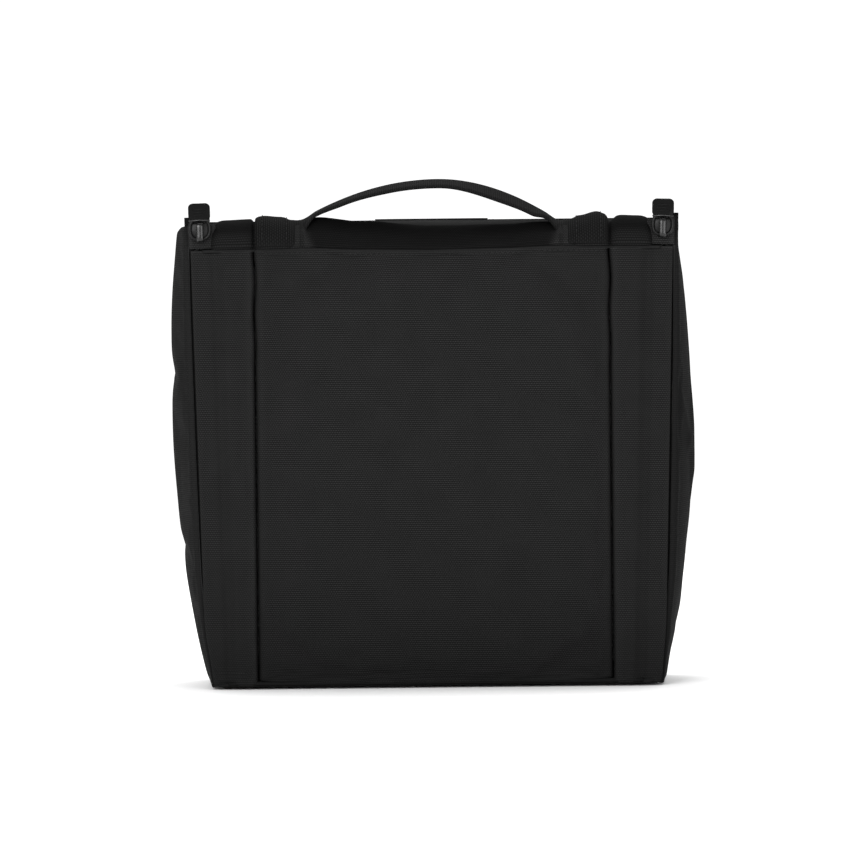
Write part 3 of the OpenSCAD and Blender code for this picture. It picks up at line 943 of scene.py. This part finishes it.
def top_panel():
    """Top wall as rings of points from the hook's slot out to a rectangle."""
    n = 96
    low, high = cad("slot_frame")
    slot = stadium((high[0] - low[0]) / 2 - 1.6, (high[1] - low[1]) - 3.2, n)
    half, y0, y1 = zip_x(BAG_H) + 1.4, ROLL_Y - 1.0, LINING_Y + 1.4
    a = 2 * pi * (np.arange(n) + 0.5) / n
    ways = np.column_stack([np.cos(a), np.sin(a)])
    reach_x, reach_y = half / np.abs(ways[:, 0]), np.where(ways[:, 1] > 0, y1 - HOOK_Y, HOOK_Y - y0)
    outer = ways * np.minimum(reach_x, reach_y / np.abs(ways[:, 1]))[:, None]
    # slide the outer corners exactly onto the rectangle's corners
    for cx in (half, -half):
        for cy in (y1 - HOOK_Y, y0 - HOOK_Y):
            outer[np.argmin(np.hypot(outer[:, 0] - cx, outer[:, 1] - cy))] = (cx, cy)
    f = np.concatenate([[0, 0.05], np.linspace(0.12, 0.94, 12), [0.98, 1.0]])[:, None]
    px, py = (slot[None, :, i] * (1 - f) + outer[None, :, i] * f for i in (0, 1))
    from_slot = np.hypot(px - slot[None, :, 0], py - slot[None, :, 1])
    py = py + HOOK_Y
    inside = np.minimum(np.minimum(half - np.abs(px), py - y0), y1 - py)
    z = BAG_H - 2.2 + (1.9 + 0.3 * ripple(px, py, 15.0, 2.2)) * rounding(inside, 9.0)
    z = z + 0.9 * groove(from_slot, 9, 7) + np.minimum((band_top(px) - 234.6) * ease((-18 - py) / 14), 0.6)
    idx = np.arange(z.size).reshape(-1, n)
    wrapped = np.concatenate([idx, idx[:, :1]], 1)
    faces = [quads(wrapped), quads(wrapped + z.size)[:, ::-1]]
    for ring in (wrapped[0], wrapped[-1]):
        faces.append(np.stack([ring[:-1], ring[1:], ring[1:] + z.size, ring[:-1] + z.size], -1))
    points = np.stack([stack3(px, py, z), stack3(px, py, BAG_H - 3.4)])
    cloth = stack3(px, py, 0.4 * np.exp(-inside / 1.5))
    # painted shade: the upward-facing top is painted at 0.8 of the cloth's colour
    obj = add_mesh("top_cloth", points, np.concatenate(faces), np.stack([cloth, cloth]), 0.8)
    finish_pad(obj, "shell", "top_panel", 0.2)
    loop = slot * (1.0 + 4.6 / np.linalg.norm(slot, axis=1)[:, None])
    loop = np.concatenate([loop, loop[:1]])
    loop = stack3(loop[:, 0], loop[:, 1] + HOOK_Y, BAG_H + 0.45)
    stitches("slot_stitches", loop, (0, 0, 1), "shell", pitch=2.8, length=2.0)


top_panel()


def back_grid(margin, z0, z1, step):
    """Grid over the tapered back, with each point's distance from the grid's own edge."""
    u, z = np.meshgrid(spaced(-1, 1, 0.036, 0.075, 0.007), spaced(z0, z1, step))
    half = back_half(z) + margin
    return u * half, z, np.minimum(half * (1 - np.abs(u)), np.minimum(z - z0, z1 - z))


def back_panel():
    x, z, inside = back_grid(0.4, 2.0, BAG_H - 0.6, 4.0)
    y = BACK_Y - 2.3 + 2.1 * rounding(inside, 9.0) + 0.2 * ripple(x, z, 24.0, 0.9) * rounding(inside, 12)
    y = y - 0.9 * groove(np.abs(x), 88.0, 1.1) * ease(inside / 4)
    cloth = stack3(x, z, 0.45 * np.exp(-inside / 1.5))
    # painted shade: the back is painted darker towards the floor
    obj = slab("back_pad", stack3(x, y, z), stack3(x, BACK_Y - 3.4, z), cloth, 0.95 - 0.3 * np.exp(-z / 30))
    finish_pad(obj, "shell", "back_panel", 0.4, inside < 3, pressure=3.0, cap=1.4)


def back_lining():
    low, high, margin = 3.4, BAG_H - 3.6, -1.2
    x, z, inside = back_grid(margin, low, high, 9.0)
    y = LINING_Y + 0.2 - 0.5 * rounding(inside, 10) - 0.25 * ripple(x, z, 17.0, 2.7) * rounding(inside, 14)
    obj = slab("back_lining_cloth", stack3(x, y, z), stack3(x, y + 0.5, z), stack3(x, z, 0))
    subdivide(obj)
    dress(obj, LINING, "shell", "lining", "back_lining")
    halves = back_half(np.linspace(low, high, 60)) + margin
    cut = (2 * halves.max() * MM, (high - low) * MM)
    cut[1] * 2 * halves.mean() * MM


back_panel()
back_lining()


def piping():
    """Bound edge all round the back."""
    r, top, low = 5.0, BAG_H - 0.2, 1.6
    half_top, half_low = back_half(BAG_H) + 0.7, back_half(0) + 0.7
    side = [(back_half(z) + 0.9, z) for z in np.linspace(6, BAG_H - 6, 40)]

    def corner(x, z, turn):
        angles = np.radians(turn + np.arange(0, 91, 15))
        return [(x + r * cos(a), z + r * sin(a)) for a in angles]

    path = side + corner(half_top - r, top - r, 0)
    path += [(x, top) for x in np.linspace(half_top - 9, -half_top + 9, 30)]
    path += corner(-half_top + r, top - r, 90) + [(-x, z) for x, z in side[::-1]]
    path += corner(-half_low + r, low + r, 180)
    path += [(x, low) for x in np.linspace(-half_low + 9, half_low - 9, 30)]
    path += corner(half_low - r, low + r, 270) + side[:1]
    x, z = np.array(path).T
    obj = tube("back_piping", stack3(x, BACK_Y - 1.5, z), 1.5, 10, squash=(1.15, 0.85), caps=False)
    dress(obj, BINDING, "shell", "binding", "back_binding")


piping()


def bottom_panel():
    y0, y1 = FRONT_Y + 2.4, LINING_Y + 1.2
    u, y = np.meshgrid(spaced(-1, 1, 0.05, 0.09, 0.008), spaced(y0, y1, 4.5))
    half = 109.0 + 2.5 * ease((y + 30) / 40)
    x = u * half
    inside = np.minimum(half * (1 - np.abs(u)), np.minimum(y - y0, y1 - y))
    z = 2.3 - 1.9 * rounding(inside, 6.0) + 0.1 * (1 + ripple(x, y, 18.0, 3.3))
    cloth = stack3(x, y, 0.5 * np.exp(-inside / 2))
    # painted shade: the underside is painted at 0.8 of the cloth's colour
    obj = slab("bottom_cloth", stack3(x, y, z), stack3(x, y, 2.75), cloth, 0.8)
    finish_pad(obj, "shell", "bottom_gusset", 0.2)


def base_lining():
    low, high = cad("base_board")
    x1, y0, y1 = high[0] + 1, low[1] - 2.5, high[1] + 1.5
    x, y = np.meshgrid(spaced(low[0] - 1, x1, 8.0), spaced(y0, y1, 8.0))
    inside = np.minimum(x1 - np.abs(x), np.minimum(y - y0, y1 - y))
    z = high[2] + 0.1 - 1.0 * (1 - rounding(inside, 3)) + 0.2 * ripple(x, y, 14.0, 0.8) * rounding(inside, 12)
    obj = slab("base_lining_cloth", stack3(x, y, z), stack3(x, y, low[2] + 0.15), stack3(x, y, 0))
    subdivide(obj)
    dress(obj, LINING, "shell", "lining", "base_board")


bottom_panel()
base_lining()


# --- zips
def on_zip(side):
    top = Matrix.Translation((side * zip_x(ZIP_TOP_Z), 0, ZIP_TOP_Z))
    return top @ Matrix.Rotation(side * ZIP_LEAN, 4, "Y")


POCKET_SCALE = 0.7
pocket_low, pocket_high = cad("pocket_tape")
POCKET_Z = pivot("pocket_puller_swing")[2]


def on_pocket():
    start = Matrix.Translation((pocket_low[0] + 6, pocket_low[1], POCKET_Z))
    turn = Matrix.Rotation(radians(-90), 4, "Y") @ Matrix.Rotation(pi, 4, "Z")
    return start @ turn @ Matrix.Scale(POCKET_SCALE, 4) @ Matrix.Translation((0, -TAPE_BACK_Y, 0))


def half_zip(tag, side, outer, body):
    """Woven tape and nylon coil of one side of a zip; outer is 1 on the side wall, -1 on the lid."""
    way = side * outer
    inner_x, outer_x = 0.35, 7.0 if outer > 0 else 5.8
    xs = np.array([0.0, 0.06, 0.2, 0.5, 0.8, 0.94, 1.0]) * (outer_x - inner_x) + inner_x
    x, z = np.meshgrid(xs, np.linspace(-ZIP_LEN, 0, 50))
    x = inner_x + (x - inner_x) * (1 - 0.45 * (1 - ease((z + ZIP_LEN) / 40)) * (outer > 0))
    edge = np.minimum(x - inner_x, outer_x - x)
    y = TAPE_FRONT_Y + 0.08 + 0.12 * (1 - rounding(edge, 0.5))
    cloth = stack3(x, z, 0.4 * np.exp(-edge / 0.5))
    tape = slab(tag + "_tape", stack3(way * x, y, z), stack3(way * x, TAPE_BACK_Y - 0.06, z), cloth)
    place = on_zip(side)
    fit(tape, place, TAPE, body, "zip_tape", tag + "_tape")
    coil(tag, way, -ZIP_LEN + 4.4, -1.9, place, body, tag + "_coil")
    seam = [place @ Vector((way * 4.3, TAPE_FRONT_Y, z)) for z in np.linspace(-ZIP_LEN + 2, -2, 40)]
    seam = [tuple(p) for p in seam]
    stitches(tag + "_tape_stitches", seam, (0, -1, 0), body, "zip_tape", pitch=3.2, r=0.18)


def coil(tag, way, z0, z1, place, body, part):
    pitch, per_turn = 1.3, 9
    a = np.arange(int((z1 - z0) / pitch * per_turn)) * 2 * pi / per_turn
    x = 1.6 + 1.02 * np.cos(a) - 0.12 * np.cos(2 * a)
    y = TAPE_FRONT_Y - 1.28 + np.sin(a)
    obj = tube(tag + "_coil_spiral", stack3(way * x, y, z0 + a / (2 * pi) * pitch), 0.26, 5)
    fit(obj, place, COIL, body, "zip_coil", part)


for tag, side in (("left", -1), ("right", 1)):
    half_zip(tag + "_outer", side, 1, "shell")
for tag, side in (("left", -1), ("right", 1)):
    half_zip(tag + "_inner", side, -1, "lid")


def zip_end_flap(side, name):
    """Folded cloth end of the zip that lies behind the slider at the top."""
    end = LIP_OUT + 0.6
    dx, v = np.meshgrid(np.linspace(-8.8, end, 16), np.linspace(0, 1, 14))
    low = 220.9
    high = 235.2 - 2.0 * groove(dx, -6.5, 2.2) - 1.6 * (1 - rounding(end - dx, 3.5))
    z = low + (high - low) * v
    x = zip_x(z) + dx
    edge = np.minimum(end - dx, np.minimum(z - low, high - z))
    bead = 0.5 * groove(end - dx, 1.2, 0.9) + 0.35 * groove(dx, -6.8, 0.8)
    y = LIP_Y + 0.45 - 0.35 * rounding(edge, 1.5) - np.minimum(bead, 0.35) + 0.55 * groove(dx, -5.6, 0.5)
    worn = 0.6 * groove(end - dx, 1.0, 1.0) + 0.5 * groove(dx, -6.8, 0.8)
    obj = slab(name, stack3(side * x, y, z), stack3(side * x, y + 0.6, z), stack3(side * x, z, worn), 1.15)
    subdivide(obj)
    dress(obj, SHELL, "shell", "shell_fabric")


zip_end_flap(-1, "left_zip_end")
zip_end_flap(1, "right_zip_end")


# Sliders, bridges and pullers, drawn in the zip's own frame
PIVOT_Z = -(ZIP_TOP_Z - SWING[2]) / cos(ZIP_LEAN)
PIVOT_Y = SWING[1]
PLATE_Y = (-43.55, -42.78)


def slider(tag, place, body, part):
    side = [(3.7, -3.6), (4.8, -4.6), (5.0, -6.9), (4.6, -8.9), (3.1, -10.7), (1.2, -12.7)]
    mirrored = [(-x, z) for x, z in side[::-1]]
    outline = [mirrored[-1], (0, -3.3), *side, (0, -13.3), *mirrored[:-1]]
    front = bevel(plate("a", outline, *PLATE_Y), 0.28)
    rear = plate("b", [(x * 0.78, z) for x, z in outline], TAPE_BACK_Y + 0.3, TAPE_BACK_Y + 1.1)
    blade = [(-0.14, -12), (0.14, -12), (0.14, -5), (-0.14, -5)]
    blade = plate("c", blade, COIL_FRONT_Y - 0.25, TAPE_BACK_Y + 0.7)
    obj = joined(tag + "_slider_body", [front, rear, blade])
    bevel(obj, 0.22)
    fit(obj, place, BLACK_METAL, body, "black_metal", part)


def bridge(tag, place, body, part):
    """Bright bar over the slider that the puller's loop runs under, with the slider's pointed nose."""
    top, low, out, r = -3.1, -12.2, FRONT_Y - 0.65, 1.7
    foot = PLATE_Y[0] + 0.2
    arc = np.radians(np.arange(0, 91, 15))
    path = [(foot, top)] + [(out + r - r * sin(a), top - r + r * cos(a)) for a in arc]
    path += [(out, z) for z in np.linspace(top - r - 0.6, low + r + 0.6, 5)]
    path += [(out + r - r * cos(a), low + r - r * sin(a)) for a in arc] + [(foot, low)]
    y, z = np.array(path).T
    bar = tube("a", stack3(0, y, z), 1.0, 12, squash=(1.7, 0.5), side_axis=(1, 0, 0))
    x = np.array([-4.2, -3.3, -1.5, 0, 1.5, 3.3, 4.2])
    z = np.array([-9.0, -10.1, -11.6, -12.3, -11.6, -10.1, -9.0])
    nose = tube("b", stack3(x, PLATE_Y[0] - 0.05, z), [0.1, 0.2, 0.3, 0.38, 0.3, 0.2, 0.1], 8)
    obj = joined(tag + "_slider_bridge", [bar, nose])
    fit(obj, place, STEEL, body, "bright_steel", part)


def squarish(radius, value, power):
    """One coordinate of a rounded square."""
    return radius * copysign(abs(value) ** power, value)


def puller(tag, place, body, part):
    """Wire loop, rubber tab with three grip ribs, and the collar where they join."""
    lean = radians(-1.0)
    swing = place @ Matrix.Translation((0, PIVOT_Y, PIVOT_Z)) @ Matrix.Rotation(lean, 4, "X")
    angles = np.radians(np.arange(0, 360, 12))
    ring = [(squarish(4.95, cos(a), 0.72), 0, 4.9 + squarish(5.0, sin(a), 0.8)) for a in angles]
    loop = tube(tag + "_puller_loop", ring + ring[:1], 0.72, 10, caps=False)
    fit(loop, swing, BLACK_METAL, body, "black_metal", part)
    tab = plate(tag + "_puller_tab", rays((0, 13.2), 5.5, 9.1, 17.9, 2.3), -1.25, 1.15)
    bevel(tab, 0.55, 3)
    fit(tab, swing, RUBBER, body, "puller_rubber")
    across = [(-5.3, 0, 9.1), (-5.0, 0, 9.2), (0, 0, 9.45), (5.0, 0, 9.2), (5.3, 0, 9.1)]
    collar = tube(tag + "_puller_collar", across, [0.5, 1.15, 1.3, 1.15, 0.5], 12, squash=(1.05, 0.5))
    fit(collar, swing, STEEL_DARK, body, "black_metal")
    ribs = [
        tube("g", [(-3.3, -1.3, z), (0, -1.42, z), (3.3, -1.3, z)], [0.2, 0.32, 0.2], 6)
        for z in (12.0, 13.4, 14.8)
    ]
    grip = joined(tag + "_puller_grip", ribs)
    fit(grip, swing, RUBBER, body, "puller_rubber")


# each slider sits a little inside its zip's line
for tag, side, inward in (("left", -1, 0.8), ("right", 1, 1.0)):
    place = on_zip(side) @ Matrix.Translation((-side * inward, 0, 0))
    slider(tag, place, tag + "_slider", tag + "_slider")
    bridge(tag, place, tag + "_slider", tag + "_bridge")
    puller(tag, place, tag + "_puller", tag + "_puller")


# --- inside of the lid
def sheet_xz(name, low, high, y, thick, step=6.0, wave=0.0, edge_drop=0.0):
    """Upright rectangle of cloth between two corners of a box."""
    x, z = np.meshgrid(spaced(low[0], high[0], step), spaced(low[2], high[2], step))
    inside = np.minimum(np.minimum(x - low[0], high[0] - x), np.minimum(z - low[2], high[2] - z))
    y = y + wave * ripple(x, z, 13.0, 1.2) * rounding(inside, 16) - edge_drop * (1 - rounding(inside, 3))
    return slab(name, stack3(x, y, z), stack3(x, y + thick, z), stack3(x, z, 0.4 * np.exp(-inside)))


def filling(name, part, gap, step=6.0):
    """Sheet that fills a CAD node's box, but for a gap at its front and back."""
    low, high = cad(part)
    return sheet_xz(name, low, high, low[1] + gap, high[1] - low[1] - 2 * gap, step)


def lid_lining():
    obj = filling("lid_lining_cloth", "lid_lining", 0.02)
    dress(obj, LINING, "lid", "lining", "lid_lining")


def mesh_pocket():
    low, high = cad("mesh_pocket")
    obj = sheet_xz("pocket_net_cloth", low, high, low[1] + 0.9, 0.3, wave=0.35, edge_drop=0.75)
    dress(obj, MESH, "lid", "mesh", "mesh_pocket")
    # U of folded binding round three sides
    x0, x1, z0, z1 = low[0] + 1, high[0] - 1, low[2] + 1.5, high[2]
    path = [(x0, z1), (x0, (z0 + z1) / 2), (x0, z0 + 3), (x0 + 0.9, z0 + 0.9), (x0 + 3, z0)]
    path += [(x, z0) for x in np.linspace(x0 + 12, x1 - 12, 12)]
    path += [(x1 - 3, z0), (x1 - 0.9, z0 + 0.9), (x1, z0 + 3), (x1, (z0 + z1) / 2), (x1, z1)]
    x, z = np.array(path).T
    binding = tube("pocket_binding", stack3(x, LID_BACK_Y + 0.75, z), 2.0, 8, squash=(0.22, 1.0))
    dress(binding, BINDING, "lid", "binding")


lid_lining()
mesh_pocket()


def pocket_zip():
    place = on_pocket()
    gap = 0.3 * POCKET_SCALE
    x0, y0, z0 = pocket_low
    x1, _, z1 = pocket_high
    for k, (low_z, high_z) in enumerate(((z0, POCKET_Z - gap), (POCKET_Z + gap, z1))):
        tape = sheet_xz(f"pocket_tape_{k}", (x0, y0, low_z), (x1, y0, high_z), y0 + 0.03, 0.36, 4.0)
        dress(tape, TAPE, "lid", "zip_tape", *(["pocket_tape"] if k == 0 else []))
    length = (x1 - x0 - 11) / POCKET_SCALE
    for k, way in enumerate((-1, 1)):
        coil(f"pocket_{k}", way, -length, 1.0, place, "lid", "pocket_coil")
    slider("pocket", place, "pocket_slider", "pocket_slider")
    bridge("pocket", place, "pocket_slider", "pocket_bridge")
    puller("pocket", place, "pocket_puller", "pocket_puller")


pocket_zip()


# Hook-and-loop strips, the tongue that carries one, the cloth hinge and the bottle elastic
for name, part, material, body in (
    ("closure_loop_strip", "closure_loops", LOOPS, "lid"),
    ("closure_hook_strip", "closure_hooks", HOOKS, "shell"),
):
    dress(filling(name, part, 0.02, 3.0), material, body, "hook_and_loop", part)
tongue = filling("closure_tongue_cloth", "closure_tongue", 0.03)
dress(tongue, BINDING, "shell", "shell_fabric", "closure_tongue")


def hinge_cloth():
    """Cloth hinge: from under the base round the front lower edge, up to the lid's underside."""
    low, high = cad("hinge_tape")
    front_y, back_y, thick = pivot("lid_drop")[1], high[1], 0.22
    path = [(back_y - 0.5, 2.95), (back_y - 3, 2.9), (front_y + 3.4, 2.75), (front_y + 2.6, 2.3)]
    path += [(front_y + 2.2, 1.5), (front_y + 1.9, 2.4), (front_y + 2.1, 3.4), (front_y + 3.4, 3.65)]
    path = np.array(path + [(back_y - 3, 3.7), (back_y - 0.5, 3.7)])
    x, k = np.meshgrid(np.linspace(low[0], high[0], 40), np.arange(len(path)))
    ahead = headings(path)
    y, z, run = path[k, 0], path[k, 1], run_along(path)
    back = stack3(x, y + thick * ahead[k, 1], z - thick * ahead[k, 0])
    obj = slab("hinge_cloth", stack3(x, y, z), back, stack3(x, run[k], 0))
    dress(obj, BINDING, None, "shell_fabric", "hinge_tape")
    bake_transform(obj)
    cut = ((high[0] - low[0]) * MM, run[-1] * MM)


hinge_cloth()


def bottle_elastic():
    """Elastic band sewn to the lining between bottles, and looped round each."""
    low, high = cad("bottle_elastic")
    loop_count, r, pitch = 4, 20.0, 45.0
    bow = r - 0.6
    path = [(-1.5 * pitch - r - 9, -0.5)]
    for i in range(loop_count):
        c = (i - (loop_count - 1) / 2) * pitch
        path += [(c - r - 1.8, -0.55), (c - r - 0.3, -0.9), (c - r + 0.5, -3.0)]
        path += [(c - bow * cos(a), -bow * sin(a)) for a in np.radians(np.arange(15, 166, 10))]
        path += [(c + r - 0.5, -3.0), (c + r + 0.3, -0.9), (c + r + 1.8, -0.55)]
    path = np.array(path + [(1.5 * pitch + r + 9, -0.5)]) + [0, LINING_Y]
    k, b = np.meshgrid(np.arange(len(path)), np.linspace(0, 1, 9))
    z = low[2] + (high[2] - low[2]) * b
    ahead, run = headings(path), run_along(path)
    front, back = (stack3(path[k, 0] - h * ahead[k, 1], path[k, 1] + h * ahead[k, 0], z) for h in (0.5, -0.5))
    obj = slab("bottle_elastic_band", front, back, stack3(z, run[k], 0))
    dress(obj, ELASTIC, "shell", "elastic", "bottle_elastic")
    for i in range(loop_count + 1):
        seam = stack3((i - loop_count / 2) * pitch, LINING_Y - 1.1, np.linspace(low[2] + 2, high[2] - 2, 6))
        stitches(f"elastic_stitches_{i}", seam, (0, -1, 0), "shell", "elastic", pitch=2.4, length=1.7)


bottle_elastic()


# --- hook and the parts that stay as CAD
def hook():
    ring_r, ring_z = 18.0, HOOK_FOOT_Z + 35.0
    path = [(0, 173.1), (0, 176), (0, 180), (0.3, 184), (1.5, 186.6), (4.0, 188.8), (7.2, 191.1)]
    rad = [3.9, 3.95, 3.8, 3.3, 3.1, 3.0, 3.0]
    for a in np.radians(np.arange(-58, 187, 7)):
        path.append((ring_r * cos(a), ring_z + ring_r * sin(a)))
        rad.append(3.0)
    tip = path[-1]
    path += [(tip[0] + 0.12, tip[1] - 1.4), (tip[0] + 0.25, tip[1] - 2.2), (tip[0] + 0.3, tip[1] - 2.5)]
    rad += [2.5, 1.5, 0.4]
    p = np.array(path)
    obj = tube("swivel_hook", stack3(p[:, 0], np.full(len(p), HOOK_Y), p[:, 1]), rad, 16)
    subdivide(obj)
    dress(obj, PLASTIC, "hook", "moulded_plastic", "hook")


hook()

for part, material in (
    ("back_board", BOARD), ("lid_board", BOARD), ("slot_frame", PLASTIC), ("zip_top_stops", COIL),
    ("zip_bottom_stops", COIL), ("pocket_stops", COIL), ("hook_carrier", PLASTIC), ("hook_pin", STEEL),
):
    obj = frame["nodes"][part]
    obj.data.materials.clear()
    obj.data.materials.append(material)
    bevel(obj, 0.25, 2, 40)
